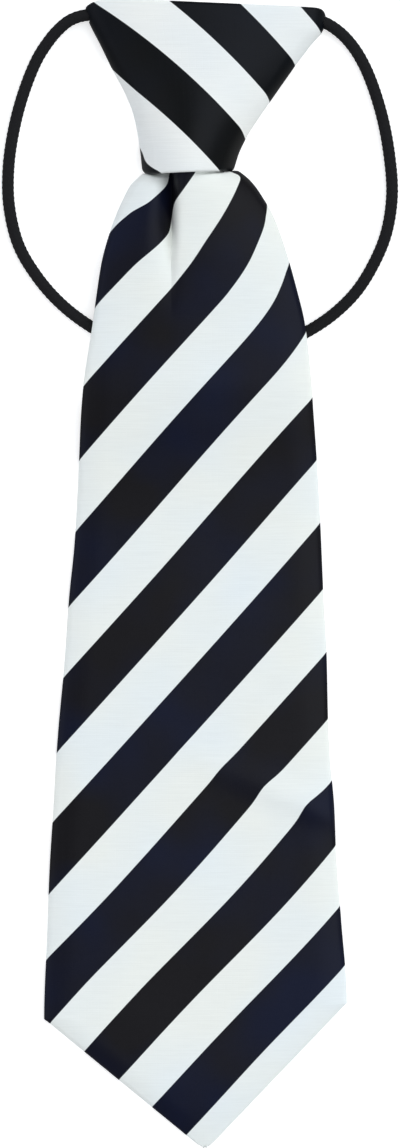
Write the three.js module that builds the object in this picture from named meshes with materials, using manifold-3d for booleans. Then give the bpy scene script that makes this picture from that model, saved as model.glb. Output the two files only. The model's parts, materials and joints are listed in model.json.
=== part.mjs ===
// Child's ready-made tie on an elastic neck cord, lying on its back with its face up.
// Millimetres. +Z comes up out of the face, +Y runs from the point to the knot, and the floor is z = 0.
// Every piece is drawn from the mouth of the knot, where the blade comes out, and moved as one at the end.

import * as THREE from 'three';
import Module from 'manifold-3d';
import { mergeVertices } from 'three/addons/utils/BufferGeometryUtils.js';

// Knot: a padded band of cloth wrapped to a flat tube, wide at the top and narrow at the mouth.
const KNOT_HEIGHT = 42; // mouth to top edge
const KNOT_WIDTH = 59; // across the top corners
const KNOT_WALL = 2; // satin over its padding
const KNOT_CORE = 2.4; // room between front and back wall at the side folds
const KNOT_CROWN = 8.6; // how far the front swells above the folds at the mouth

// Blade: a strip of lined satin folded to a flat tube whose edges meet down the middle of the back.
const BLADE_LENGTH = 238; // mouth of the knot to the tip of the point
const BLADE_WIDTH = 74; // across the two corners of the hem
const POINT_DEPTH = 33.4; // corners of the hem to the tip
const HEM_SKEW = 3.9; // how much lower the left corner hangs
const TIP_SHIFT = 2.3; // tip, right of the middle
const TIP_WIDTH = 4; // blunt end of the turned point
const CLOTH = 1; // satin with its lining
const PLY_GAP = 1; // between the front ply and the back plies
const SEAM_GAP = 0.6; // between the two edges that meet at the back
const BLADE_PUFF = 5.8; // how far the gathered front stands up at the mouth
const DIMPLE_DEPTH = 6;
const DIMPLE_WIDTH = 2.4;
const DIMPLE_SHIFT = -5.9; // dimple, left of the middle
const RIPPLE_HEIGHT = 0.7; // soft buckle across the lower blade
const RIPPLE_LENGTH = 5;

// Neck cord: round braided elastic.
const CORD_DIAMETER = 3;
const CLEARANCE = 0.4; // between two pieces that touch on the real tie

// Steps of the shapes.
const ARC_STEPS = 3; // a quarter turn of a fold
const FRONT_STEPS = 8; // dimple to fold
const CORD_SIDES = 8;
const CHANNEL_SIDES = 12;
const CORD_STEP = 2.4; // in cord diameters
const DIMPLE_POWER = 1.5; // a sharp crease near 1, a round hollow at 2
const BOW_POWER = 6; // how square the shoulders of a bent edge are
const CROWDING = 1.5; // how much closer the points of the front lie near the dimple
const KEEP_INSIDE = 0.25; // share of the front that stays at each side of the dimple's bottom

const KNOT_FOLD = KNOT_WALL + KNOT_CORE / 2;
const BLADE_FOLD = CLOTH + PLY_GAP / 2;
const BLADE_LIFT = CORD_DIAMETER + CLEARANCE; // the blade rides over the cord
const TIP_FOLD = TIP_WIDTH / 3;

const table = (names, rows) => rows.map((row) => Object.fromEntries(names.map((name, i) => [name, row[i]])));

// Sections of the knot from its mouth to its top. Edges are shares of half the top width, heights of the
// knot's height: up is the left fold, tilt lowers the right fold, bow bends the line between them upwards.
const KNOT_ROWS = table(
  ['up', 'tilt', 'bow', 'left', 'right', 'crown'],
  [
    [0.02, 0, -0.02, -0.427, 0.307, 1],
    [0.1, 0, -0.01, -0.451, 0.349, 1],
    [0.22, 0, 0, -0.478, 0.435, 0.95],
    [0.34, 0, 0, -0.515, 0.546, 0.88],
    [0.46, 0, 0, -0.583, 0.664, 0.79],
    [0.6, 0, 0.01, -0.688, 0.804, 0.67],
    [0.74, 0.01, 0.02, -0.785, 0.942, 0.57],
    [0.88, 0.03, 0.03, -0.885, 1.067, 0.47],
    [0.955, 0.055, 0.059, -0.922, 1.08, 0.41],
  ],
);

// Levels at which the gathered neck of the blade fills the knot, as shares of its height, the share of the
// room there that it fills, and how much of the dimple has formed. The top corners are left to the cord.
const NECK_ROWS = table(
  ['up', 'width', 'dimple'],
  [
    [0.93, 0.5, 0],
    [0.84, 0.51, 0],
    [0.78, 0.97, 0],
    [0.66, 1, 0],
    [0.5, 1, 0],
    [0.36, 1, 0],
    [0.22, 1, 0.3],
    [0.1, 1, 0.8],
    [0.03, 1, 1],
  ],
);

// Sections of the blade from the mouth to the corners of its hem. Edges are shares of half its width,
// lift, puff, dimple and fold of the sizes that they are named after.
const BLADE_ROWS = table(
  ['along', 'left', 'right', 'lift', 'puff', 'dimple', 'fold'],
  [
    [0.001, -0.285, 0.185, 0.7, 1, 1, 1.3],
    [0.008, -0.38, 0.335, 0.72, 1, 1, 1.3],
    [0.015, -0.428, 0.387, 0.74, 0.98, 1, 1.3],
    [0.03, -0.479, 0.449, 0.78, 0.92, 0.9, 1.26],
    [0.05, -0.531, 0.508, 0.84, 0.82, 0.6, 1.2],
    [0.075, -0.589, 0.567, 0.92, 0.7, 0.37, 1.14],
    [0.105, -0.632, 0.624, 1, 0.56, 0.14, 1.08],
    [0.14, -0.663, 0.677, 1, 0.44, 0.04, 1.03],
    [0.18, -0.685, 0.725, 1, 0.34, 0, 1],
    [0.25, -0.739, 0.764, 1, 0.25, 0, 1],
    [0.29, -0.757, 0.779, 0.78, 0.2, 0, 1],
    [0.34, -0.769, 0.799, 0.34, 0.17, 0, 1],
    [0.39, -0.782, 0.816, 0.08, 0.15, 0, 1],
    [0.44, -0.8, 0.829, 0, 0.13, 0, 1],
    [0.5, -0.834, 0.843, 0, 0.12, 0, 1],
    [0.58, -0.866, 0.866, 0, 0.11, 0, 1],
    [0.66, -0.907, 0.876, 0, 0.1, 0, 1],
    [0.715, -0.928, 0.892, 0, 0.1, 0, 1],
    [0.74, -0.937, 0.912, 0, 0.1, 0, 1],
    [0.765, -0.946, 0.924, 0, 0.1, 0, 1],
    [0.82, -0.965, 0.935, 0, 0.09, 0, 1],
    [0.9, -0.98, 0.97, 0, 0.08, 0, 1],
    [1, -1, 1, 0, 0.08, 0, 1],
  ],
);
const RIPPLE_ALONG = 0.74; // share of the way to the hem
const POINT_ROWS = [0.2, 0.45, 0.68, 0.86, 1]; // shares of the way from the corners to the tip
const FIRST_HOLLOW_ROW = 3; // the plies are gathered solid above it
const SOLID_POINT_ROWS = 2; // the turned hem fills the last of the point

// Route of the neck cord, from inside the left corner of the knot, round behind the blade and into the
// right corner: x and y from the mouth of the knot, and how far it stands above where it would lie flat.
const CORD_ROUTE = table(
  ['x', 'y', 'rise'],
  [
    [-17.5, 38.7, 2.5],
    [-22.5, 38.7, 2.1],
    [-27.5, 38.4, 1.6],
    [-30.8, 37.2, 1.2],
    [-33.8, 34.7, 0.7],
    [-36.4, 31.5, 0.2],
    [-38.8, 27.6, 0],
    [-42, 19.6, 0],
    [-44.4, 10.5, 0],
    [-45.7, 1, 0],
    [-45.5, -8.2, 0],
    [-43.2, -17.6, 0],
    [-38.9, -25, 0],
    [-33.6, -31.2, 0],
    [-27.2, -36.4, 0],
    [-19.6, -40.7, 0],
    [-10.6, -44, 0],
    [-1, -45.7, 0],
    [8.8, -45.2, 0],
    [17.8, -43, 0],
    [25.8, -39.5, 0],
    [33.1, -34.9, 0],
    [39.2, -29, 0],
    [43.6, -22, 0],
    [46.6, -14.6, 0],
    [48, -5.4, 0],
    [47.4, 4, 0],
    [45.6, 13.8, 0],
    [42.8, 22.7, 0],
    [40.4, 27.9, 0],
    [38, 31.5, 0.2],
    [35.2, 34.4, 0.7],
    [31.6, 36.7, 1.4],
    [27.5, 37.8, 2],
    [22.5, 38.2, 2.3],
    [17.5, 38.3, 2.5],
  ],
);
const CORD_ENDS = 5; // points of the route at each end that lie in or just outside the knot

const wasm = await Module();
wasm.setup();

const mix = THREE.MathUtils.lerp;

// Outline of a flat tube of cloth, seen along it: a flat back, a round fold at each side, and a front that
// rises to a crown and may dip. Inset draws it inside the cloth. The points run from the foot of the left
// fold over the front to the foot of the right one, and the back closes them.
function outline(section, inset = 0) {
  const { left, right, back, fold, crown, dimple = 0 } = section;
  const middle = (left + right) / 2;
  const half = (right - left) / 2 - inset;
  const round = fold - inset;
  const level = back + fold;
  const dip = (x) => dimple * Math.exp(-(Math.abs((x - DIMPLE_SHIFT) / DIMPLE_WIDTH) ** DIMPLE_POWER));
  const rise = (x) => {
    const slope = dip(x + CLOTH / 4) - dip(x - CLOTH / 4);
    const slant = inset * (Math.hypot(1, slope / (CLOTH / 2)) - 1);
    return Math.max(crown * (1 - ((x - middle) / half) ** 2), 0) - dip(x) - slant;
  };
  const points = [];
  const foldPoint = (side, turn) => {
    const x = middle + side * (half - round * (1 - Math.cos(turn)));
    points.push([x, level + round * Math.sin(turn) + (turn > 0 ? rise(x) : 0)]);
  };
  const quarter = Math.PI / 2;
  for (let i = -ARC_STEPS; i <= ARC_STEPS; i += 1) foldPoint(-1, (i * quarter) / ARC_STEPS);
  const first = middle - half + round;
  const last = middle + half - round;
  const [low, high] = [mix(first, last, KEEP_INSIDE), mix(last, first, KEEP_INSIDE)];
  const bottom = THREE.MathUtils.clamp(DIMPLE_SHIFT, low, high);
  for (let i = 1 - FRONT_STEPS; i < FRONT_STEPS; i += 1) {
    const share = Math.abs(i / FRONT_STEPS) ** CROWDING;
    const x = mix(bottom, i < 0 ? first : last, share);
    points.push([x, level + round + rise(x)]);
  }
  for (let i = ARC_STEPS; i >= -ARC_STEPS; i -= 1) foldPoint(1, (i * quarter) / ARC_STEPS);
  return points;
}

// Ring of points in space: the outline set on the line between the section's two folds.
function ring(section, points) {
  const { left, right, leftY, rightY, bow = 0 } = section;
  return points.map(([x, z]) => {
    const share = THREE.MathUtils.clamp((x - left) / (right - left), 0, 1);
    const bend = bow * (1 - Math.abs(2 * share - 1) ** BOW_POWER);
    return [x, mix(leftY, rightY, share) + bend, z];
  });
}

// Solid through a row of rings that have as many points each, closed by a cap at both ends.
function loft(rings) {
  const count = rings[0].length;
  const flip = ([a, b, c]) => [a, c, b];
  const cap = (points) => {
    const flat = points.map(([x, , z]) => new THREE.Vector2(x, z));
    const faces = THREE.ShapeUtils.triangulateShape(flat, []);
    return THREE.ShapeUtils.isClockWise(flat) ? faces.map(flip) : faces;
  };
  const faces = cap(rings[0]).map(flip);
  const shift = count * (rings.length - 1);
  faces.push(...cap(rings.at(-1)).map((face) => face.map((i) => i + shift)));
  for (let r = 0; r + 1 < rings.length; r += 1) {
    for (let i = 0; i < count; i += 1) {
      const a = r * count + i;
      const b = r * count + ((i + 1) % count);
      faces.push([a, b, b + count], [a, b + count, a + count]);
    }
  }
  const corners = rings.flat().map((point) => new THREE.Vector3(...point));
  const volume = faces.reduce((sum, [a, b, c]) => {
    const normal = new THREE.Vector3().crossVectors(corners[b], corners[c]);
    return sum + corners[a].dot(normal);
  }, 0);
  return solid(rings.flat(2), (volume < 0 ? faces.map(flip) : faces).flat());
}

function solid(positions, indices) {
  const mesh = new wasm.Mesh({
    numProp: 3,
    vertProperties: Float32Array.from(positions),
    triVerts: Uint32Array.from(indices),
  });
  return new wasm.Manifold(mesh);
}

// Round tube along a list of points.
function tube(points, radius, sides, steps) {
  const curve = new THREE.CatmullRomCurve3(points, false, 'centripetal');
  const circle = Array.from({ length: sides }, (_, i) => {
    const turn = (2 * Math.PI * i) / sides;
    return new THREE.Vector2(radius * Math.cos(turn), radius * Math.sin(turn));
  });
  const options = { steps, extrudePath: curve, bevelEnabled: false };
  return new THREE.ExtrudeGeometry(new THREE.Shape(circle), options);
}

function solidOf(geometry) {
  const bare = geometry.clone();
  bare.deleteAttribute('normal');
  bare.deleteAttribute('uv');
  const merged = mergeVertices(bare);
  return solid(merged.getAttribute('position').array, merged.getIndex().array);
}

function geometryOf(manifold) {
  const mesh = manifold.getMesh();
  const geometry = new THREE.BufferGeometry();
  geometry.setAttribute('position', new THREE.BufferAttribute(mesh.vertProperties, 3));
  geometry.setIndex(new THREE.BufferAttribute(mesh.triVerts, 1));
  return geometry;
}

// Section of the knot at any share of its height, between the rows of its table.
function knotSection(up) {
  const above = Math.max(1, KNOT_ROWS.findIndex((row) => row.up >= up));
  const [low, high] = [KNOT_ROWS[above - 1], KNOT_ROWS[above]];
  const share = (up - low.up) / (high.up - low.up);
  const at = (name) => mix(low[name], high[name], share);
  return {
    left: (at('left') * KNOT_WIDTH) / 2,
    right: (at('right') * KNOT_WIDTH) / 2,
    leftY: up * KNOT_HEIGHT,
    rightY: (up - at('tilt')) * KNOT_HEIGHT,
    bow: at('bow') * KNOT_HEIGHT,
    back: 0,
    fold: KNOT_FOLD,
    crown: at('crown') * KNOT_CROWN,
  };
}

const hemLeft = -(BLADE_LENGTH - POINT_DEPTH + HEM_SKEW / 2);
const hemRight = -(BLADE_LENGTH - POINT_DEPTH - HEM_SKEW / 2);

// The soft buckle lifts the front over a short stretch of the blade.
const ripple = (along) => {
  const away = ((along - RIPPLE_ALONG) * hemRight) / RIPPLE_LENGTH;
  return RIPPLE_HEIGHT * Math.exp(-(away ** 2));
};

const bladeSections = BLADE_ROWS.map((row) => ({
  left: (row.left * BLADE_WIDTH) / 2,
  right: (row.right * BLADE_WIDTH) / 2,
  leftY: row.along * hemLeft,
  rightY: row.along * hemRight,
  back: row.lift * BLADE_LIFT,
  fold: row.fold * BLADE_FOLD,
  crown: row.puff * BLADE_PUFF + ripple(row.along),
  dimple: row.dimple * DIMPLE_DEPTH,
}));

const hem = bladeSections.at(-1);
const pointSections = POINT_ROWS.map((share) => ({
  left: mix(hem.left, TIP_SHIFT - TIP_WIDTH / 2, share),
  right: mix(hem.right, TIP_SHIFT + TIP_WIDTH / 2, share),
  leftY: mix(hemLeft, -BLADE_LENGTH, share),
  rightY: mix(hemRight, -BLADE_LENGTH, share),
  back: 0,
  fold: mix(BLADE_FOLD, TIP_FOLD, share ** 4),
  crown: mix(hem.crown, 0, share),
}));

// The hollow between the plies, with the gap of the back seam running down and out of it.
function hollowRing(section) {
  const inside = outline(section, CLOTH);
  const middle = (section.left + section.right) / 2;
  const floor = section.back + CLOTH;
  const outside = section.back - CLOTH;
  const [a, b] = [middle - SEAM_GAP / 2, middle + SEAM_GAP / 2];
  return ring(section, [[a, outside], [a, floor], ...inside, [b, floor], [b, outside]]);
}

function makeKnot(channels) {
  const sections = KNOT_ROWS.map((row) => knotSection(row.up));
  const outer = loft(sections.map((section) => ring(section, outline(section))));
  const inner = sections.map((section) => ring(section, outline(section, KNOT_WALL)));
  const past = (points, shift) => points.map(([x, y, z]) => [x, y + shift, z]);
  const bore = loft([past(inner[0], -KNOT_WALL), ...inner, past(inner.at(-1), KNOT_WALL)]);
  return channels.reduce((knot, channel) => knot.subtract(channel), outer.subtract(bore));
}

function makeBlade() {
  const neck = NECK_ROWS.map(({ up, width, dimple }) => {
    const room = knotSection(up);
    const middle = (room.left + room.right) / 2;
    const [left, right] = [mix(middle, room.left, width), mix(middle, room.right, width)];
    const section = { ...room, left, right, dimple: dimple * DIMPLE_DEPTH };
    return ring(section, outline(section, KNOT_WALL + CLEARANCE));
  });
  const sections = [...bladeSections, ...pointSections];
  const outer = loft([...neck, ...sections.map((section) => ring(section, outline(section)))]);
  const open = sections.slice(FIRST_HOLLOW_ROW, sections.length - SOLID_POINT_ROWS);
  return outer.subtract(loft(open.map(hollowRing)));
}

const route = CORD_ROUTE.map(({ x, y, rise }) => new THREE.Vector3(x, y, CORD_DIAMETER / 2 + rise));
const cordLength = new THREE.CatmullRomCurve3(route, false, 'centripetal').getLength();
const cordSteps = Math.round(cordLength / (CORD_STEP * CORD_DIAMETER));
const cord = tube(route, CORD_DIAMETER / 2, CORD_SIDES, cordSteps);

// The cord leaves the knot between its front and back wall, through a channel at each top corner.
const channelRadius = (CORD_DIAMETER / 2 + CLEARANCE) / Math.cos(Math.PI / CHANNEL_SIDES);
const channels = [route.slice(0, CORD_ENDS), route.slice(-CORD_ENDS).reverse()].map((points) => {
  const inner = points[0].clone().add(points[0]).sub(points[1]);
  return solidOf(tube([inner, ...points], channelRadius, CHANNEL_SIDES, 2 * CORD_ENDS));
});

const satin = { color: '#e6ecea', roughness: 0.45, metalness: 0 };
const braid = { color: '#151513', roughness: 0.8, metalness: 0 };

function piece(name, geometry, finish) {
  const mesh = new THREE.Mesh(geometry, new THREE.MeshStandardMaterial(finish));
  mesh.name = name;
  return mesh;
}

const tie = new THREE.Group();
tie.add(piece('knot', geometryOf(makeKnot(channels)), satin));
tie.add(piece('blade', geometryOf(makeBlade()), satin));
tie.add(piece('neck_elastic', cord, braid));
tie.position.y = (BLADE_LENGTH - KNOT_HEIGHT) / 2;

export default tie;
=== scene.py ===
"""Child's ready-made striped tie on a round elastic neck cord, lying on its back with its face up."""

import json
import math

import bpy
import numpy as np
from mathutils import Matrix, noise

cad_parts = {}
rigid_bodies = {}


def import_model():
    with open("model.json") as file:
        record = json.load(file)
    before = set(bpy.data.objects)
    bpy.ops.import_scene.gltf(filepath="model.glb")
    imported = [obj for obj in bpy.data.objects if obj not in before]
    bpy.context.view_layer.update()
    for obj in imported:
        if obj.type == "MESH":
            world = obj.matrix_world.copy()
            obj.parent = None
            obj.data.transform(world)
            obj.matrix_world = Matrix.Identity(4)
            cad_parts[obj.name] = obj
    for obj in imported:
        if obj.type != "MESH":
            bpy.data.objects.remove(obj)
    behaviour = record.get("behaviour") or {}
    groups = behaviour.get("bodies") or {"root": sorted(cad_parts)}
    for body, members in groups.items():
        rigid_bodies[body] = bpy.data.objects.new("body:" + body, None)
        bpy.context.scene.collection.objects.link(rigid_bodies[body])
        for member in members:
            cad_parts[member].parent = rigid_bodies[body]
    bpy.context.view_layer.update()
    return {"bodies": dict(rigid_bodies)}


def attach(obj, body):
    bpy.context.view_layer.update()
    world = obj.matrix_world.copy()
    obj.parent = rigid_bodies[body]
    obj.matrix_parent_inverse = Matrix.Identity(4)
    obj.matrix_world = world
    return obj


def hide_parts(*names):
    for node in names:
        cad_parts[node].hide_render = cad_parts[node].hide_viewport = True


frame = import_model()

MM = 0.001
body = next(iter(frame["bodies"]))

# Camera: straight above the tie, as in the photo, whose long side takes in the whole length.
# A long lens from far off keeps the raised knot from looking larger than the blade.
PHOTO_LENGTH = 0.2802
PHOTO_MIDDLE = (0.0011, 0.0001)
FACE_LEVEL = 0.004
LENS = 400
SENSOR = 36

camera = bpy.data.objects.new("camera", bpy.data.cameras.new("camera"))
camera.data.lens = LENS
camera.data.sensor_width = SENSOR
camera.data.clip_end = 20
camera.location = (*PHOTO_MIDDLE, FACE_LEVEL + PHOTO_LENGTH * LENS / SENSOR)
bpy.context.collection.objects.link(camera)
bpy.context.scene.camera = camera

# Neck elastic: a round elastic braided from black polyester yarn over rubber, 3 mm thick.
# Its ends are sewn in at the knot's top corners, and the loop lies behind the blade.
MOUTH_Y = 98
CORD_DIAMETER = 3
CORD_STEP = 0.2
CORD_SIDES = 48
CURVE_STEPS = 30  # between two points of the route
YARNS_AROUND = 8
YARN_LENGTH = 1.3
YARN_RELIEF = 0.11
FUZZ_PER_METRE = 2500
# x and y from the mouth of the knot, and how far the cord stands above where it would lie flat.
CORD_ROUTE = (
    (-17.5, 38.7, 2.5),
    (-22.5, 38.7, 2.1),
    (-27.5, 38.4, 1.6),
    (-30.8, 37.2, 1.2),
    (-33.8, 34.7, 0.7),
    (-36.4, 31.5, 0.2),
    (-38.8, 27.6, 0),
    (-42, 19.6, 0),
    (-44.4, 10.5, 0),
    (-45.7, 1, 0),
    (-45.5, -8.2, 0),
    (-43.2, -17.6, 0),
    (-38.9, -25, 0),
    (-33.6, -31.2, 0),
    (-27.2, -36.4, 0),
    (-19.6, -40.7, 0),
    (-10.6, -44, 0),
    (-1, -45.7, 0),
    (8.8, -45.2, 0),
    (17.8, -43, 0),
    (25.8, -39.5, 0),
    (33.1, -34.9, 0),
    (39.2, -29, 0),
    (43.6, -22, 0),
    (46.6, -14.6, 0),
    (48, -5.4, 0),
    (47.4, 4, 0),
    (45.6, 13.8, 0),
    (42.8, 22.7, 0),
    (40.4, 27.9, 0),
    (38, 31.5, 0.2),
    (35.2, 34.4, 0.7),
    (31.6, 36.7, 1.4),
    (27.5, 37.8, 2),
    (22.5, 38.2, 2.3),
    (17.5, 38.3, 2.5),
)


def curve_through(points, step):
    """Centripetal Catmull-Rom curve through the points, as points a step apart."""
    points = np.array(points, float)
    before, after = 2 * points[0] - points[1], 2 * points[-1] - points[-2]
    held = np.vstack([before, points, after])
    reach = np.linalg.norm(np.diff(held, axis=0), axis=1) ** 0.5
    t = np.linspace(0, 1, CURVE_STEPS, endpoint=False)[:, None]
    line = []
    for i in range(len(points) - 1):
        a, b, c, d = held[i : i + 4]
        ab, bc, cd = reach[i : i + 3]
        leave = bc * ((b - a) / ab - (c - a) / (ab + bc) + (c - b) / bc)
        arrive = bc * ((c - b) / bc - (d - b) / (bc + cd) + (d - c) / cd)
        bend = (2 * (b - c) + leave + arrive) * t**3 + (3 * (c - b) - 2 * leave - arrive) * t**2
        line.append(b + leave * t + bend)
    line = np.vstack([*line, points[-1:]])
    run = np.concatenate([[0], np.cumsum(np.linalg.norm(np.diff(line, axis=0), axis=1))])
    stops = np.linspace(0, run[-1], round(run[-1] / step) + 1)
    return np.stack([np.interp(stops, run, line[:, i]) for i in range(3)], axis=1), stops


def round_tube(line, radius):
    """Rows of points round a line, at the radius of each point."""
    ahead = np.gradient(line, axis=0)
    ahead /= np.linalg.norm(ahead, axis=1)[:, None]
    aside = np.cross(ahead, (0, 0, 1))
    aside /= np.linalg.norm(aside, axis=1)[:, None]
    above = np.cross(aside, ahead)
    turn = np.linspace(2 * math.pi, 0, CORD_SIDES, endpoint=False)[None, :, None]
    spoke = np.cos(turn) * aside[:, None] + np.sin(turn) * above[:, None]
    return line[:, None] + np.broadcast_to(radius, spoke.shape[:2])[..., None] * spoke


def grid_object(name, points, uv, material, caps=False):
    """Object from rows of points in millimetres. Where uv has a row or column more, the grid closes."""
    rows, columns = points.shape[:2]
    r, c = np.meshgrid(np.arange(uv.shape[0] - 1), np.arange(uv.shape[1] - 1), indexing="ij")

    def corner(i, j):
        return (i % rows) * columns + j % columns

    quads = np.stack([corner(r, c), corner(r, c + 1), corner(r + 1, c + 1), corner(r + 1, c)], axis=-1)
    corners = np.stack([uv[:-1, :-1], uv[:-1, 1:], uv[1:, 1:], uv[1:, :-1]], axis=2)
    faces = quads.reshape(-1, 4).tolist()
    corners = corners.reshape(-1, 2)
    if caps:
        faces.append(list(range(columns))[::-1])
        faces.append([(rows - 1) * columns + i for i in range(columns)])
        corners = np.vstack([corners, np.zeros((2 * columns, 2))])
    mesh = bpy.data.meshes.new(name)
    mesh.from_pydata((points.reshape(-1, 3) * MM).tolist(), [], faces)
    mesh.uv_layers.new(name="cloth").data.foreach_set("uv", (corners * MM).ravel())
    mesh.shade_smooth()
    mesh.materials.append(material)
    made = bpy.data.objects.new(name, mesh)
    bpy.context.collection.objects.link(made)
    return made


def linear(colour):
    """Colour for a shader's socket from its sRGB hex value."""
    parts = [int(colour[i : i + 2], 16) / 255 for i in (1, 3, 5)]
    return [p / 12.92 if p <= 0.04045 else ((p + 0.055) / 1.055) ** 2.4 for p in parts] + [1]


def add(tree, kind, inputs=None, **settings):
    """Adds a node with its settings, and links or sets its inputs."""
    node = tree.nodes.new(kind)
    for name, value in settings.items():
        setattr(node, name, value)
    for socket, value in (inputs or {}).items():
        if isinstance(value, bpy.types.NodeSocket):
            tree.links.new(value, node.inputs[socket])
        else:
            node.inputs[socket].default_value = value
    return node


def new_material(name):
    """New material, with its node tree and its shader."""
    material = bpy.data.materials.new(name)
    material.use_nodes = True
    tree = material.node_tree
    return material, tree, tree.nodes["Principled BSDF"]


# Braided polyester: the yarns are matt and slightly fuzzy, so the black is soft and never glossy.
braid, tree, shader = new_material("braided_polyester")
place = add(tree, "ShaderNodeUVMap", uv_map="cloth")
fuzz = add(
    tree,
    "ShaderNodeTexNoise",
    {"Vector": place.outputs["UV"], "Scale": FUZZ_PER_METRE, "Detail": 3},
)
tone = add(
    tree,
    "ShaderNodeMix",
    {"Factor": fuzz.outputs["Fac"], "A": linear("#0b0b0d"), "B": linear("#18181b")},
    data_type="RGBA",
)
bump = add(
    tree,
    "ShaderNodeBump",
    {"Strength": 0.5, "Distance": 0.1 * MM, "Height": fuzz.outputs["Fac"]},
)
tree.links.new(tone.outputs["Result"], shader.inputs["Base Color"])
tree.links.new(bump.outputs["Normal"], shader.inputs["Normal"])
shader.inputs["Roughness"].default_value = 0.85
shader.inputs["Specular IOR Level"].default_value = 0.25

route = [(x, y + MOUTH_Y, CORD_DIAMETER / 2 + rise) for x, y, rise in CORD_ROUTE]
cord_line, cord_run = curve_through(route, CORD_STEP)
turn = np.linspace(2 * math.pi, 0, CORD_SIDES + 1)[None, :]
lattice = np.cos(YARNS_AROUND * turn) * np.cos(2 * math.pi * cord_run[:, None] / YARN_LENGTH)
tube = round_tube(cord_line, CORD_DIAMETER / 2 - YARN_RELIEF * (0.5 - 0.5 * lattice[:, :-1]))
cord_uv = np.stack(np.broadcast_arrays(turn * CORD_DIAMETER / 2, cord_run[:, None]), axis=-1)
neck_elastic = grid_object("neck_elastic_braid", tube, cord_uv, braid, caps=True)

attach(neck_elastic, body)
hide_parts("neck_elastic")

# Knot: a band of striped satin over soft padding, wrapped to a flat tapered tube and slip-stitched
# down its back. Both rims are turned in, and the elastic comes out at the top corners.
KNOT_HEIGHT = 42
KNOT_WIDTH = 59
KNOT_WALL = 2
KNOT_FOLD = 3.2  # half the depth of the side folds
KNOT_CROWN = 8.6  # how far the face swells above the folds at the mouth
CLEARANCE = 0.4
RIM_POWER = 0.6  # 1 is a round rim, and less a squarer one
KNOT_SHOULDERS = (12, 40)  # left and right: 2 is a round bow of the edge, and more a squarer one
BOW_LEAN = 0.5  # how much more an edge bows at the left than at the right
# Stripes in each millimetre across and along the cloth, and how many stripes they are set off by.
KNOT_STRIPES = (0.067, 0.0637, 1.566)
# The band's pull round its padding bends the stripes, and a pucker by the mouth draws them aside.
KNOT_PULL = (0.00026, -0.00016, 0.00008)
PUCKER_DRAW = 1.6
PUCKER_PLACE = (-11.5, 2.5)
PUCKER_SIZE = (3, 2)
# Sections of the knot from its mouth to its top, as shares of its height and of half its width.
KNOT_TABLE = ("up", "tilt", "bow", "left", "right", "crown")
KNOT_ROWS = (
    (0.012, -0.012, -0.02, -0.442, 0.32, 1),
    (0.1, 0, -0.01, -0.454, 0.353, 1),
    (0.22, 0, 0, -0.478, 0.435, 0.95),
    (0.34, 0, 0, -0.515, 0.546, 0.88),
    (0.46, 0, 0, -0.583, 0.664, 0.79),
    (0.6, 0, 0.01, -0.688, 0.804, 0.67),
    (0.74, 0.01, 0.02, -0.785, 0.942, 0.57),
    (0.88, 0.03, 0.03, -0.885, 1.067, 0.47),
    (0.955, 0.035, 0.05, -0.922, 1.08, 0.41),
)
OPENING_ROOM = 0.35
OPENING_REACH = 14  # how far it follows the elastic
OPENING_BLACK = (-22, 38)  # a place in one of the cloth's black stripes
OUTSIDE_ROWS = 62
INSIDE_ROWS = 32
RIM_STEPS = 12
KNOT_FACE_STEPS = 80
KNOT_BACK_STEPS = 16
FOLD_STEPS = 12
SIDE_MARGIN = 0.25  # least share of the face at each side of its centre
FOLD_EASE = 0.35  # on the upper half of a fold, 0 lays the pattern flat over it and 1 runs it round
EDGE_ENDS = (0.05, 0.95)  # shares of the knot's height between which its edges' lean is taken
SLIP_EASE = 8  # how far in on the back the threads' slip has faded to about a third
SEAM_DEPTH = 0.7  # of the groove that the seam draws into the back
SEAM_SHARE = 0.45  # of half a fold's depth, at most
SEAM_WIDTH = 1.3
EDGE_ANGLE = 50  # degrees between two faces, past which the edge between them shows
CLOUDS_PER_METRE = 28
SLUBS_PER_METRE = (120, 2500, 0)


def smooth(keys, values, at):
    """Smooth curve through the values that never swings past them."""
    keys, values, at = np.array(keys, float), np.array(values, float), np.array(at, float)
    gap = np.diff(keys)
    slope = np.diff(values) / gap
    same = slope[:-1] * slope[1:] > 0
    share = (2 * gap[1:] + gap[:-1]) / (3 * (gap[1:] + gap[:-1]))
    mean = share / np.where(same, slope[:-1], 1) + (1 - share) / np.where(same, slope[1:], 1)
    lean = np.concatenate([slope[:1], np.where(same, 1 / np.where(same, mean, 1), 0), slope[-1:]])
    i = np.clip(np.searchsorted(keys, at, side="right") - 1, 0, len(gap) - 1)
    t = np.clip((at - keys[i]) / gap[i], 0, 1)
    bend = (lean[i] + lean[i + 1]) * gap[i] - 2 * (values[i + 1] - values[i])
    turn = 3 * (values[i + 1] - values[i]) - (2 * lean[i] + lean[i + 1]) * gap[i]
    return values[i] + lean[i] * gap[i] * t + turn * t**2 + bend * t**3


def knot_section(up):
    """Sizes of the knot's section at each share of its height."""
    rows = np.array(KNOT_ROWS)
    at = {name: smooth(rows[:, 0], rows[:, i], up) for i, name in enumerate(KNOT_TABLE)}
    return {
        "left": at["left"] * KNOT_WIDTH / 2,
        "right": at["right"] * KNOT_WIDTH / 2,
        "left_y": up * KNOT_HEIGHT,
        "right_y": (up - at["tilt"]) * KNOT_HEIGHT,
        "bow": at["bow"] * KNOT_HEIGHT,
        "back": 0 * up,
        "fold": KNOT_FOLD + 0 * up,
        "crown": at["crown"] * KNOT_CROWN,
        "dimple": 0 * up,
    }


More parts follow.
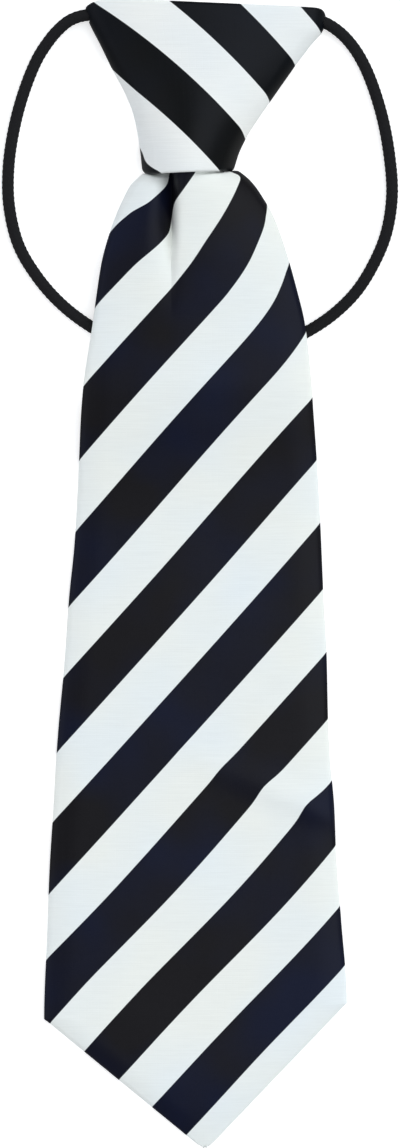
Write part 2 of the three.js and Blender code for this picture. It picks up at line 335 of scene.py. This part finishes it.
def flat_tube(section, face, back_steps, shoulders, inset=0, seam_gap=0, centre=None, relief=None):
    """Rows of points round a flat tube of cloth: from the seam down the middle of its back by the left
    fold, the face and the right fold to the seam again. Also the first and last column of the face."""
    s = {name: np.asarray(value, float)[:, None] for name, value in section.items()}
    inset = np.asarray(inset, float).reshape(-1, 1)
    middle = (s["left"] + s["right"]) / 2
    half = (s["right"] - s["left"]) / 2 - inset
    fold = s["fold"] - inset
    level = s["back"] + s["fold"]
    turn = np.linspace(-math.pi / 2, math.pi / 2, FOLD_STEPS + 1)[None, :]
    reach = half - fold * (1 - np.cos(turn))
    lift = fold * np.sin(turn)
    first, last = middle - half + fold, middle + half - fold
    low = first * (1 - SIDE_MARGIN) + last * SIDE_MARGIN
    high = first * SIDE_MARGIN + last * (1 - SIDE_MARGIN)
    centre = middle if centre is None else np.clip(centre, low, high)
    face_x = np.where(face < 0, centre + (centre - first) * face, centre + (last - centre) * face)
    share = np.linspace(0, 1, back_steps, endpoint=False)[None, :]
    back_x = seam_gap / 2 + (half - fold - seam_gap / 2) * share
    flat = 0 * back_x + 0 * s["left"]
    x = [middle - back_x, middle - reach, face_x, middle + reach[:, ::-1], (middle + back_x)[:, ::-1]]
    z = [flat - fold, lift, 0 * face_x + fold, lift[:, ::-1], flat - fold]
    top = [flat, np.maximum(np.sin(turn), 0) + flat[:, :1], 1 + 0 * face_x]
    x, z = np.hstack(x), level + np.hstack(z)
    top = np.hstack([*top, top[1][:, ::-1], flat])
    share = np.clip((x - s["left"]) / (s["right"] - s["left"]), 0, 1)
    y = s["left_y"] + (s["right_y"] - s["left_y"]) * share
    power = np.where(share < 0.5, *shoulders)
    y = y + s["bow"] * (1 - np.abs(2 * share - 1) ** power) * (1 + BOW_LEAN * (0.5 - share))
    rise = np.maximum(s["crown"] * (1 - ((x - middle) / half) ** 2), 0)
    if relief is not None:
        rise = rise + relief(x, y, s)
    groove = np.minimum(SEAM_DEPTH, SEAM_SHARE * s["fold"]) * (z < level)
    groove = groove * np.exp(-(((x - middle) / SEAM_WIDTH) ** 2))
    points = np.stack([x, y + MOUTH_Y, z + top * rise + groove], axis=-1)
    return points, back_steps + FOLD_STEPS, back_steps + FOLD_STEPS + face.shape[-1] + 1


def cloth_uv(points, face_u, first, last, face_v, leans):
    """Cloth coordinates in millimetres: as given on the face, eased round the upper half of the folds, and
    on the back as the cloth lies when it is turned over at its edge, which leans to the cloth's length.
    The threads that have slipped on the face lie straight again a little way in on the back."""
    step = np.linalg.norm(np.diff(points, axis=1), axis=2)
    run = np.hstack([np.zeros((len(points), 1)), np.cumsum(step, axis=1)])
    u, v = face_u.copy(), face_v.copy()
    for start, side, lean in ((first, -1, leans[0]), (last, 1, leans[1])):
        edge = start + side * FOLD_STEPS // 2
        upper, lower = slice(edge, start), slice(0, edge)
        if side > 0:
            upper, lower = slice(start, edge + 1), slice(edge, None)
        length, across = (values - values[:, start, None] for values in (run, face_u))
        u[:, upper] = (face_u + FOLD_EASE * (length - across))[:, upper]
        lean = np.reshape(lean, (-1, 1))
        aside = points[..., 0] - points[:, edge, None, 0]
        along = face_v - face_v[:, edge, None]
        turned = 2 * (aside * lean + along) / (lean**2 + 1)
        slip = (u - points[..., 0])[:, edge, None] * np.exp(-np.abs(aside) / SLIP_EASE)
        u[:, lower] = (points[:, edge, None, 0] + slip + turned * lean - aside)[:, lower]
        v[:, lower] = (face_v[:, edge, None] + turned - along)[:, lower]
    return np.stack([u, v], axis=-1)


# Polyester satin, yarn-dyed: long floats make it smooth, with a faint soft gloss on the black. Both tones
# drift at random a little between warm and cool, and the black also drifts to navy in patches: painted
# sheen, standing in for the satin's navy highlights. The threads are 0.1 mm apart, too fine to show, so the
# weave is drawn at 0.5 mm.
def striped_satin(name, stripes, whites, blacks_and_sheen):
    """Satin with white and black stripes of one width, which slant across the cloth."""
    per_u, per_v, start = stripes
    satin, tree, shader = new_material(name)
    place = add(tree, "ShaderNodeUVMap", uv_map="cloth").outputs["UV"]
    across = add(
        tree,
        "ShaderNodeVectorMath",
        {0: place, 1: (per_u / MM, per_v / MM, 0)},
        operation="DOT_PRODUCT",
    )
    phase = add(tree, "ShaderNodeMath", {0: across.outputs["Value"], 1: start}, operation="ADD")
    # The stripes follow a sine, black above zero and white below, with a narrow blurred edge.
    wave = add(tree, "ShaderNodeMath", {0: phase.outputs[0], 1: math.pi}, operation="MULTIPLY")
    wave = add(tree, "ShaderNodeMath", {0: wave.outputs[0]}, operation="SINE")
    band = add(
        tree,
        "ShaderNodeMapRange",
        {"Value": wave.outputs[0], "From Min": -0.01, "From Max": -0.05},
    )
    # Random clouds blend each tone between its two colours. The black's second colour is navy, which is
    # painted sheen.
    cloud = add(tree, "ShaderNodeTexNoise", {"Vector": place, "Scale": CLOUDS_PER_METRE, "Detail": 2})
    drift_and_sheen = add(
        tree,
        "ShaderNodeMapRange",
        {"Value": cloud.outputs["Fac"], "From Min": 0.4, "From Max": 0.65},
    )
    white = add(
        tree,
        "ShaderNodeMix",
        {"Factor": drift_and_sheen.outputs["Result"], "A": linear(whites[0]), "B": linear(whites[1])},
        data_type="RGBA",
    )
    # Black stripe colour, drifting to navy in the clouds: painted sheen.
    black_and_sheen = add(
        tree,
        "ShaderNodeMix",
        {"Factor": drift_and_sheen.outputs["Result"], "A": linear(blacks_and_sheen[0]), "B": linear(blacks_and_sheen[1])},
        data_type="RGBA",
    )
    tone = add(
        tree,
        "ShaderNodeMix",
        {
            "Factor": band.outputs["Result"],
            "A": black_and_sheen.outputs["Result"],
            "B": white.outputs["Result"],
        },
        data_type="RGBA",
    )
    # Thicker and thinner threads across the cloth, drawn at 0.4 mm, keep its tone from looking painted.
    threads = add(tree, "ShaderNodeVectorMath", {0: place, 1: SLUBS_PER_METRE}, operation="MULTIPLY")
    slub = add(tree, "ShaderNodeTexNoise", {"Vector": threads.outputs[0], "Scale": 1, "Detail": 2})
    shade = add(
        tree,
        "ShaderNodeMapRange",
        {"Value": slub.outputs["Fac"], "From Min": 0.3, "From Max": 0.7, "To Min": 0.965},
    )
    tone = add(
        tree,
        "ShaderNodeMix",
        {"Factor": 1, "A": tone.outputs["Result"], "B": shade.outputs["Result"]},
        data_type="RGBA",
        blend_type="MULTIPLY",
    )
    floats = add(
        tree,
        "ShaderNodeTexBrick",
        {
            "Vector": place,
            "Scale": 1 / MM,
            "Mortar Size": 0.08,
            "Mortar Smooth": 1,
            "Brick Width": 1.6,
            "Row Height": 0.5,
        },
        offset=0.4,
        offset_frequency=1,
    )
    bump = add(
        tree,
        "ShaderNodeBump",
        {"Strength": 0.25, "Distance": 0.05 * MM, "Height": floats.outputs["Fac"]},
        invert=True,
    )
    tree.links.new(tone.outputs["Result"], shader.inputs["Base Color"])
    tree.links.new(bump.outputs["Normal"], shader.inputs["Normal"])
    shader.inputs["Roughness"].default_value = 0.4
    shader.inputs["Specular IOR Level"].default_value = 0.12
    shader.inputs["Specular Tint"].default_value = linear("#ebecf2")
    return satin


def knot_profile():
    """Share of the height and depth in the wall, up the outside, over the top rim, down the inside and
    back round the rim of the mouth."""
    low, high = KNOT_ROWS[0][0], KNOT_ROWS[-1][0]
    rim = KNOT_WALL / 2 / KNOT_HEIGHT
    turn = np.linspace(0, math.pi, RIM_STEPS + 1)
    over, through = np.sin(turn) ** RIM_POWER, np.abs(np.cos(turn)) ** RIM_POWER * np.sign(np.cos(turn))
    outside = np.linspace(low + rim, high - rim, OUTSIDE_ROWS + 2)[1:-1]
    inside = np.linspace(high - rim, low + rim, INSIDE_ROWS + 2)[1:-1]
    up = [outside, high - rim * (1 - over), inside, low + rim * (1 - over)]
    depth = [0 * outside, 1 - through, 2 + 0 * inside, 1 + through]
    return np.concatenate(up), np.concatenate(depth) * KNOT_WALL / 2


knot_up, knot_depth = knot_profile()
face = np.linspace(-1, 1, KNOT_FACE_STEPS + 1)[None, 1:-1]
knot_points, first, last = flat_tube(
    knot_section(knot_up), face, KNOT_BACK_STEPS, KNOT_SHOULDERS, inset=knot_depth
)
x, y = knot_points[..., 0], knot_points[..., 1] - MOUTH_Y
bent = (KNOT_PULL[0] * x**2 + KNOT_PULL[1] * x * y + KNOT_PULL[2] * y**2) / KNOT_STRIPES[0]
away = ((x - PUCKER_PLACE[0]) / PUCKER_SIZE[0]) ** 2 + ((y - PUCKER_PLACE[1]) / PUCKER_SIZE[1]) ** 2
bent = bent + PUCKER_DRAW * np.exp(-away)
ends = knot_section(np.array(EDGE_ENDS))
leans = [np.diff(ends[side]) / np.diff(ends["left_y"]) for side in ("left", "right")]
knot_uv = cloth_uv(knot_points, x + bent, first, last, y, leans)
knot_uv = np.concatenate([knot_uv, knot_uv[:1]])
# The knot's second black is bluish: painted sheen, mixed in by the random clouds.
knot_satin = striped_satin(
    "polyester_satin_knot", KNOT_STRIPES, whites=("#f2f4f1", "#e7edef"), blacks_and_sheen=("#0a0c0d", "#0a0f19")
)
knot = grid_object("knot_band", knot_points[:, :-1], knot_uv, knot_satin)

# The elastic comes out through an opening in each corner's fold, whose turned-in edge is black.
openings = []
reach = round(OPENING_REACH / CORD_STEP)
for end in (cord_line[:reach:4], cord_line[-reach::4]):
    hole = round_tube(end, CORD_DIAMETER / 2 + OPENING_ROOM)
    uv = np.broadcast_to(OPENING_BLACK, (len(hole), CORD_SIDES + 1, 2))
    openings.append(grid_object("opening", hole, uv, knot_satin, caps=True))
    cut = knot.modifiers.new("opening", "BOOLEAN")
    cut.object = openings[-1]
    cut.solver = "EXACT"
knot_cut = knot.evaluated_get(bpy.context.evaluated_depsgraph_get())
knot_mesh = bpy.data.meshes.new_from_object(knot_cut)
knot.modifiers.clear()
knot.data = knot_mesh
knot.data.set_sharp_from_angle(angle=math.radians(EDGE_ANGLE))
for opening in openings:
    bpy.data.objects.remove(opening)

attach(knot, body)
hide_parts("knot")

# Blade: a strip of the same satin with its lining, folded to a flat tube whose edges meet down the
# middle of the back. Its neck is gathered inside the knot, which sets the dimple under it.
BLADE_LENGTH = 238
BLADE_WIDTH = 74
POINT_DEPTH = 33.4  # corners of the hem to the tip
HEM_SKEW = 3.9  # how much lower the left corner hangs
TIP_SHIFT = 2.3
TIP_WIDTH = 1.8
TIP_PRESSED = 5  # how far from the tip the layers start to be pressed thin
TIP_CLOTH = 0.1  # share of the cloth's thickness that is left there
CLOTH = 0.7  # satin with its lining
BLADE_FOLD = 1.5  # half the depth of the side folds
SEAM_GAP = 0.6
BLADE_PUFF = 5.8  # how far the gathered face swells at the mouth
BLADE_LIFT = CORD_DIAMETER + CLEARANCE  # the blade rides over the elastic
DIMPLE_DEPTH = 6
DIMPLE_WIDTH = (2.8, 1)  # left and right of its bottom
DIMPLE_SHIFT = -5.9
DIMPLE_POWER = 1.35  # a sharp crease near 1, a round hollow at 2
BUCKLE_HEIGHT = 1
BUCKLE_LENGTH = 3.6
BUCKLE_START = (4, -145)
BUCKLE_SLANT = -0.4
BUCKLE_LEAD = 12  # how far left of its start it begins to rise
BUCKLE_GROWTH = 28  # how far it takes to reach its full height
BUCKLE_POWER = 1.5
BUCKLE_DRAW = 1.1  # how far it draws the stripes aside
ROLL_DEPTH = 1.1  # of the pressed edges, which roll down to the folds
ROLL_WIDTH = 7
ROLL_CROWN = 0.4  # share of that depth that the middle stands up
ROLL_START = (12, 50)  # where the rolled edges start below the mouth, and where they are fully formed
UNEVEN = ((24, 0.22), (9, 0.05))  # size and height of the soft unevenness of the cloth
UNEVEN_END = 4  # how far it goes on inside the knot
BLADE_STRIPES = (1 / 14.77, 1 / 16.31, 0.651)
BLADE_FACE_STEPS = 86
BLADE_BACK_STEPS = 10
CROWDING = 1.5  # how much closer the points of the face lie near the dimple
# Levels of the gathered neck inside the knot, the share of the room there that it fills, and how much
# of the dimple has formed.
NECK_ROWS = (
    (0.93, 0.5, 0),
    (0.84, 0.51, 0),
    (0.78, 0.97, 0),
    (0.66, 1, 0),
    (0.5, 1, 0),
    (0.36, 1, 0),
    (0.22, 1, 0.3),
    (0.1, 1, 0.8),
    (0.03, 1, 1),
)
# Sections of the blade from the mouth to the corners of its hem: along its length, its edges as
# shares of half its width, and shares of its lift over the cord, puff, dimple and fold.
BLADE_TABLE = ("along", "left", "right", "lift", "puff", "dimple", "fold")
BLADE_ROWS = (
    (0.001, -0.285, 0.185, 0.7, 1, 1, 1.3),
    (0.004, -0.335, 0.265, 0.71, 1, 1, 1.3),
    (0.008, -0.38, 0.32, 0.72, 1, 1, 1.3),
    (0.015, -0.428, 0.38, 0.74, 0.98, 1, 1.3),
    (0.03, -0.475, 0.445, 0.78, 0.92, 0.95, 1.26),
    (0.05, -0.525, 0.508, 0.84, 0.82, 0.92, 1.2),
    (0.075, -0.574, 0.563, 0.92, 0.7, 0.72, 1.14),
    (0.105, -0.619, 0.615, 1, 0.56, 0.34, 1.08),
    (0.14, -0.65, 0.668, 1, 0.44, 0.1, 1.03),
    (0.18, -0.68, 0.72, 1, 0.34, 0, 1),
    (0.25, -0.739, 0.764, 1, 0.25, 0, 1),
    (0.29, -0.757, 0.779, 0.78, 0.2, 0, 1),
    (0.34, -0.769, 0.799, 0.34, 0.17, 0, 1),
    (0.39, -0.782, 0.816, 0.08, 0.15, 0, 1),
    (0.44, -0.8, 0.829, 0, 0.13, 0, 1),
    (0.5, -0.834, 0.843, 0, 0.12, 0, 1),
    (0.58, -0.866, 0.866, 0, 0.11, 0, 1),
    (0.66, -0.907, 0.876, 0, 0.1, 0, 1),
    (0.715, -0.928, 0.892, 0, 0.1, 0, 1),
    (0.74, -0.935, 0.906, 0, 0.1, 0, 1),
    (0.765, -0.944, 0.917, 0, 0.1, 0, 1),
    (0.82, -0.963, 0.929, 0, 0.09, 0, 1),
    (0.9, -0.98, 0.962, 0, 0.08, 0, 1),
    (1, -1, 1, 0, 0.08, 0, 1),
)
# Where the cloth swells out under the knot, the ends of its sections stand higher than their middle:
# along the blade, and how much at the left and right fold.
LOBES = ((0.001, 0, 0), (0.004, 0.7, 1.4), (0.008, 0.4, 1.1), (0.015, 0.1, 0.4), (0.03, 0, 0), (1, 0, 0))
BLADE_SHOULDERS = (4, 4)
# Sections of the point, as shares of the way from the hem to the tip, and how far its end narrows there.
POINT_ROWS = (0.02, 0.2, 0.45, 0.68, 0.86, 0.95, 0.985, 1)
TIP_TAPER = (1, 1, 1, 1, 1, 1, 0.9, 0.5)
SECTION = ("left", "right", "left_y", "right_y", "bow", "back", "fold", "crown", "dimple")
HEM_MIDDLE = BLADE_LENGTH - POINT_DEPTH


def blade_keys():
    """Sections of the blade by their distance below the mouth, from inside the knot to the tip."""
    keys = []
    for up, width, dimple in NECK_ROWS:
        room = {name: float(value[0]) for name, value in knot_section(np.array([up])).items()}
        middle = (room["left"] + room["right"]) / 2
        spare = KNOT_WALL + CLEARANCE
        room["left"] = middle + (room["left"] + spare - middle) * width
        room["right"] = middle + (room["right"] - spare - middle) * width
        room["back"] = spare
        room["fold"] -= spare
        room["dimple"] = dimple * DIMPLE_DEPTH
        keys.append((-up * KNOT_HEIGHT, room))
    left_y, right_y = -(HEM_MIDDLE + HEM_SKEW / 2), -(HEM_MIDDLE - HEM_SKEW / 2)
    for row in BLADE_ROWS:
        at = dict(zip(BLADE_TABLE, row))
        lobe_at, *lobes = np.array(LOBES).T
        left_lobe, right_lobe = (np.interp(at["along"], lobe_at, lobe) for lobe in lobes)
        section = {
            "left": at["left"] * BLADE_WIDTH / 2,
            "right": at["right"] * BLADE_WIDTH / 2,
            "left_y": at["along"] * left_y + left_lobe,
            "right_y": at["along"] * right_y + right_lobe,
            "bow": -(left_lobe + right_lobe) / 2,
            "back": at["lift"] * BLADE_LIFT,
            "fold": at["fold"] * BLADE_FOLD,
            "crown": at["puff"] * BLADE_PUFF,
            "dimple": at["dimple"] * DIMPLE_DEPTH,
        }
        keys.append((at["along"] * HEM_MIDDLE, section))
    hem = keys[-1][1]
    for share, taper in zip(POINT_ROWS, TIP_TAPER):
        tip = {
            "left": TIP_SHIFT - TIP_WIDTH / 2 * taper,
            "right": TIP_SHIFT + TIP_WIDTH / 2 * taper,
            "left_y": -BLADE_LENGTH,
            "right_y": -BLADE_LENGTH,
            "crown": 0,
        }
        section = {name: at + (tip.get(name, at) - at) * share for name, at in hem.items()}
        section["fold"] = BLADE_FOLD + (TIP_WIDTH / 4 * taper - BLADE_FOLD) * share**4
        keys.append((HEM_MIDDLE + share * POINT_DEPTH, section))
    down = np.array([at for at, _ in keys])
    return down, {name: np.array([section[name] for _, section in keys]) for name in SECTION}


# Rows of points by their distance below the mouth, closest where the cloth swells out of the knot and
# where the hem turns into the point.
key_down, key_sections = blade_keys()
down = np.concatenate(
    [
        np.linspace(key_down[0], -2, 24, endpoint=False),
        np.linspace(-2, 12, 56, endpoint=False),
        np.linspace(12, 60, 70, endpoint=False),
        np.linspace(60, HEM_MIDDLE, 110, endpoint=False),
        HEM_MIDDLE + np.array([0, 0.02, 0.3, 0.67]),
        np.linspace(HEM_MIDDLE + 1.5, BLADE_LENGTH - 2, 28, endpoint=False),
        np.linspace(BLADE_LENGTH - 2, BLADE_LENGTH, 9),
    ]
)
blade_sections = {name: smooth(key_down, values, down) for name, values in key_sections.items()}


def buckle(x, y):
    """Share of the soft buckle that runs down to the right over the lower blade and grows on its way."""
    crest = BUCKLE_START[1] + BUCKLE_SLANT * (x - BUCKLE_START[0])
    grown = np.clip((x - BUCKLE_START[0] + BUCKLE_LEAD) / BUCKLE_GROWTH, 0, 1)
    return grown**BUCKLE_POWER * np.exp(-(((y - crest) / BUCKLE_LENGTH) ** 2))


def blade_relief(x, y, s):
    """What lies on the plain swell of the face: dimple, rolled edges, buckle and the cloth's unevenness."""
    width = np.where(x < DIMPLE_SHIFT, *DIMPLE_WIDTH)
    dip = s["dimple"] * np.exp(-(np.abs((x - DIMPLE_SHIFT) / width) ** DIMPLE_POWER))
    inside = np.minimum(x - s["left"], s["right"] - x)
    roll = ROLL_CROWN - np.clip(1 - inside / ROLL_WIDTH, 0, 1) ** 2
    formed = np.clip((-y - ROLL_START[0]) / (ROLL_START[1] - ROLL_START[0]), 0, 1)
    wavy = 0 * x
    for size, height in UNEVEN:
        spots = [noise.noise((a / size, b / size, size)) for a, b in zip(x.ravel(), y.ravel())]
        wavy += height * np.reshape(spots, x.shape)
    relief = BUCKLE_HEIGHT * buckle(x, y) + formed * ROLL_DEPTH * roll + wavy * (y < UNEVEN_END)
    return relief * np.minimum(1, s["fold"] / BLADE_FOLD) ** 2 - dip


face = np.linspace(-1, 1, BLADE_FACE_STEPS + 1)[None, 1:-1]
face = np.sign(face) * np.abs(face) ** CROWDING
blade_points, first, last = flat_tube(
    blade_sections,
    face,
    BLADE_BACK_STEPS,
    BLADE_SHOULDERS,
    seam_gap=SEAM_GAP,
    centre=DIMPLE_SHIFT,
    relief=blade_relief,
)

# How far the cloth's threads have slipped sideways on the blade, by distance below the mouth: over the
# whole width, at each side of the dimple and how softly these two meet, more and more from left to
# right, and at the right fold.
SHEAR_REACH = 35  # how far right of x = 0 the growing slip is what its table says
LEAN_REACH = 30  # how far up and down the lean of an edge is taken
SLIP = ((0, 0), (30, 0.1), (60, 0.3), (100, -0.2), (150, -0.3), (175, -1), (200, 0.3), (238, 1.7))
LEFT_SLIP = ((0, -4.5), (4, -5.6), (7, -5.1), (10, -2.8), (14, -1.9), (17, -1.8), (23, -0.4), (30, 0))
RIGHT_SLIP = ((0, 5.2), (4, 4.4), (10, 3.4), (16, 2.2), (23, 0.6), (30, 0))
DIMPLE_EDGE = ((0, 0.4), (14, 0.5), (18, 1.2), (30, 3))
SHEAR = (
    (40, 0),
    (80, 0.7),
    (120, 0.2),
    (150, 0),
    (172, -0.8),
    (195, -0.6),
    (206, 0),
    (220, 0.7),
    (238, 0.7),
)
FLANK = (
    (0, 9.5),
    (0.6, 5.3),
    (1.5, 4),
    (4, 5.4),
    (8, 6.8),
    (14, 5.7),
    (22, 6),
    (28, 5),
    (34, 3.2),
    (42, 1.4),
    (52, 0),
    (150, 0),
    (164, 0.8),
    (182, 1.4),
    (195, 1),
    (206, 0.6),
)

x, y = blade_points[..., 0], blade_points[..., 1] - MOUTH_Y


def by_depth(table):
    """Value of a table at each point's distance below the mouth."""
    keys, values = np.array(table).T
    return smooth(keys, values, np.clip(-y, keys[0], keys[-1]))


middle = (blade_sections["left"] + blade_sections["right"])[:, None] / 2
half = (blade_sections["right"] - blade_sections["left"])[:, None] / 2
over = 0.5 + 0.5 * np.tanh((x - DIMPLE_SHIFT) / by_depth(DIMPLE_EDGE))
u = x + by_depth(SLIP) + by_depth(LEFT_SLIP) * (1 - over) + by_depth(RIGHT_SLIP) * over
u = u + by_depth(FLANK) * np.clip((x - middle) / half, 0, 1) ** 3
u = u + by_depth(SHEAR) * x / SHEAR_REACH + BUCKLE_DRAW * buckle(x, y)
above = np.clip(down - LEAN_REACH, 0, HEM_MIDDLE - LEAN_REACH)
below = np.clip(down + LEAN_REACH, LEAN_REACH, HEM_MIDDLE)
leans = []
for side in ("left", "right"):
    start, end, hem = (smooth(key_down, key_sections[side], at) for at in (above, below, [HEM_MIDDLE]))
    point_lean = (TIP_SHIFT - hem) / POINT_DEPTH
    leans.append(np.where(down > HEM_MIDDLE, point_lean, (end - start) / (below - above)))
blade_uv = cloth_uv(blade_points, u, first, last, -y, leans)
# The blade's second black is navy: painted sheen, mixed in by the random clouds.
blade_satin = striped_satin(
    "polyester_satin_blade", BLADE_STRIPES, whites=("#f0f3ee", "#eaf1f3"), blacks_and_sheen=("#121114", "#0b1229")
)
blade = grid_object("blade_cloth", blade_points[::-1], blade_uv[::-1], blade_satin)
wall = blade.modifiers.new("cloth", "SOLIDIFY")
wall.thickness = CLOTH * MM
wall.offset = -1
# The layers are pressed thin where the fold runs out in the tip.
wall.vertex_group = "layers"
pressed = blade.vertex_groups.new(name="layers")
columns = blade_points.shape[1]
for row, left_over in enumerate((BLADE_LENGTH - down)[::-1]):
    span = list(range(row * columns, (row + 1) * columns))
    pressed.add(span, min(1, max(TIP_CLOTH, left_over / TIP_PRESSED)), "REPLACE")

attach(blade, body)
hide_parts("blade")

# Seam stitches: slip stitches in black polyester thread, which close the back of the blade and of the
# knot. They lie in the seam's groove, one every few millimetres, and no two are quite the same.
STITCH_SPACING = 4
STITCH_LENGTH = 2.4
STITCH_SLANT = 28
STITCH_PULL = 0.2  # on the middle of its arch
THREAD = 0.28
STITCH_DROP = 0.36  # below the deepest place of the groove, which opens downwards
UNEVEN_SLANT = 0.18  # either way, in radians
UNEVEN_SIZE = (0.85, 1.1)
# First and last stitch of each seam, by distance below the mouth.
BLADE_SEAM = (10, BLADE_LENGTH - 7)
KNOT_SEAM = (-39, -3)


def slip_stitches(spots, material):
    """One object with a short arched stitch at each spot, which slants across the seam."""
    tree = bpy.data.node_groups.new("slip_stitches", "GeometryNodeTree")
    given = {}
    for name, kind, value in (
        ("Spots", "Geometry", None),
        ("Half Length", "Float", STITCH_LENGTH / 2 * MM),
        ("Thread Radius", "Float", THREAD / 2 * MM),
        ("Slant", "Float", math.radians(STITCH_SLANT)),
        ("Thread", "Material", material),
    ):
        socket = tree.interface.new_socket(name, in_out="INPUT", socket_type="NodeSocket" + kind)
        given[socket.identifier] = value
    tree.interface.new_socket("Stitches", in_out="OUTPUT", socket_type="NodeSocketGeometry")
    start = add(tree, "NodeGroupInput").outputs
    back = add(tree, "ShaderNodeMath", {0: start["Half Length"], 1: -1}, operation="MULTIPLY")
    sunk = add(tree, "ShaderNodeMath", {0: start["Thread Radius"], 1: 2}, operation="MULTIPLY")
    ends = [
        add(tree, "ShaderNodeCombineXYZ", {"X": reach, "Z": sunk.outputs[0]}).outputs[0]
        for reach in (back.outputs[0], start["Half Length"])
    ]
    arch = add(
        tree,
        "GeometryNodeCurveQuadraticBezier",
        {"Resolution": 8, "Start": ends[0], "Middle": (0, 0, -STITCH_PULL * MM), "End": ends[1]},
    )
    ring = add(
        tree,
        "GeometryNodeCurvePrimitiveCircle",
        {"Resolution": 8, "Radius": start["Thread Radius"]},
    )
    thread = add(
        tree,
        "GeometryNodeCurveToMesh",
        {"Curve": arch.outputs[0], "Profile Curve": ring.outputs[0], "Fill Caps": True},
    )
    turns = {2: -UNEVEN_SLANT, 3: UNEVEN_SLANT, "Seed": 4}
    uneven = add(tree, "FunctionNodeRandomValue", turns, data_type="FLOAT")
    slant = add(tree, "ShaderNodeMath", {0: start["Slant"], 1: uneven.outputs[1]}, operation="ADD")
    sizes = {2: UNEVEN_SIZE[0], 3: UNEVEN_SIZE[1], "Seed": 9}
    size = add(tree, "FunctionNodeRandomValue", sizes, data_type="FLOAT")
    placed = add(
        tree,
        "GeometryNodeInstanceOnPoints",
        {
            "Points": start["Spots"],
            "Instance": thread.outputs[0],
            "Rotation": add(tree, "ShaderNodeCombineXYZ", {"Z": slant.outputs[0]}).outputs[0],
            "Scale": size.outputs[1],
        },
    )
    real = add(tree, "GeometryNodeRealizeInstances", {"Geometry": placed.outputs[0]})
    dyed = add(
        tree,
        "GeometryNodeSetMaterial",
        {"Geometry": real.outputs[0], "Material": start["Thread"]},
    )
    add(tree, "NodeGroupOutput", {"Stitches": dyed.outputs[0]})
    mesh = bpy.data.meshes.new("seam_stitches")
    mesh.from_pydata((spots * MM).tolist(), [], [])
    stitches = bpy.data.objects.new("seam_stitches", mesh)
    bpy.context.collection.objects.link(stitches)
    sewing = stitches.modifiers.new("stitches", "NODES")
    sewing.node_group = tree
    for identifier, value in given.items():
        if value is not None:
            sewing[identifier] = value
    sewn = stitches.evaluated_get(bpy.context.evaluated_depsgraph_get())
    stitches_mesh = bpy.data.meshes.new_from_object(sewn)
    stitches.modifiers.remove(sewing)
    stitches.data = stitches_mesh
    return stitches


# Spun polyester: matt and black, so the stitches show on the white stripes only.
thread_black, tree, shader = new_material("polyester_thread")
shader.inputs["Base Color"].default_value = linear("#141417")
shader.inputs["Roughness"].default_value = 0.7

spots = []
for seam, ends in ((blade_points, BLADE_SEAM), (knot_points[:OUTSIDE_ROWS], KNOT_SEAM)):
    seam = (seam[:, 0] + seam[:, -1]) / 2
    seam = seam[np.argsort(-seam[:, 1])]
    stops = MOUTH_Y - np.arange(*ends, STITCH_SPACING)
    x, z = (np.interp(-stops, -seam[:, 1], seam[:, i]) for i in (0, 2))
    spots.append(np.stack([x, stops, z - STITCH_DROP], axis=1))
seam_stitches = slip_stitches(np.vstack(spots), thread_black)

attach(seam_stitches, body)

# Floor and lights: a plain white floor that shines a little, so that shadows stay as faint as in the
# photo, and that isn't mirrored in the black folds. Over it an even sky, a wide window to the right and
# a weaker one to the left.
FLOOR_REACH = 3
floor_white, tree, shader = new_material("matt_white_board")
shader.inputs["Base Color"].default_value = linear("#dcdcdc")
shader.inputs["Roughness"].default_value = 0.9
shader.inputs["Emission Color"].default_value = linear("#ffffff")
shader.inputs["Emission Strength"].default_value = 0.6
floor_mesh = bpy.data.meshes.new("floor")
corners = [(x * FLOOR_REACH, y * FLOOR_REACH, 0) for x, y in ((-1, -1), (1, -1), (1, 1), (-1, 1))]
floor_mesh.from_pydata(corners, [], [(0, 1, 2, 3)])
floor_mesh.materials.append(floor_white)
floor = bpy.data.objects.new("floor", floor_mesh)
bpy.context.collection.objects.link(floor)
floor.visible_glossy = False

world = bpy.data.worlds.new("studio")
world.use_nodes = True
world.node_tree.nodes["Background"].inputs["Color"].default_value = linear("#fbfbf9")
world.node_tree.nodes["Background"].inputs["Strength"].default_value = 0.36
bpy.context.scene.world = world


def soft_sun(name, colour, strength, spread, tilt, azimuth):
    """Wide distant light that comes down at a tilt from straight above, from an azimuth east of north."""
    sun = bpy.data.objects.new(name, bpy.data.lights.new(name, "SUN"))
    sun.data.color = linear(colour)[:3]
    sun.data.energy = strength
    sun.data.angle = math.radians(spread)
    sun.rotation_euler = (-math.radians(tilt), 0, -math.radians(azimuth))
    bpy.context.collection.objects.link(sun)


soft_sun("right_window", "#f5faff", 2.05, 70, 32, 65)
soft_sun("left_window", "#eef2ff", 0.72, 60, 60, -85)
bpy.context.scene.view_settings.view_transform = "Standard"
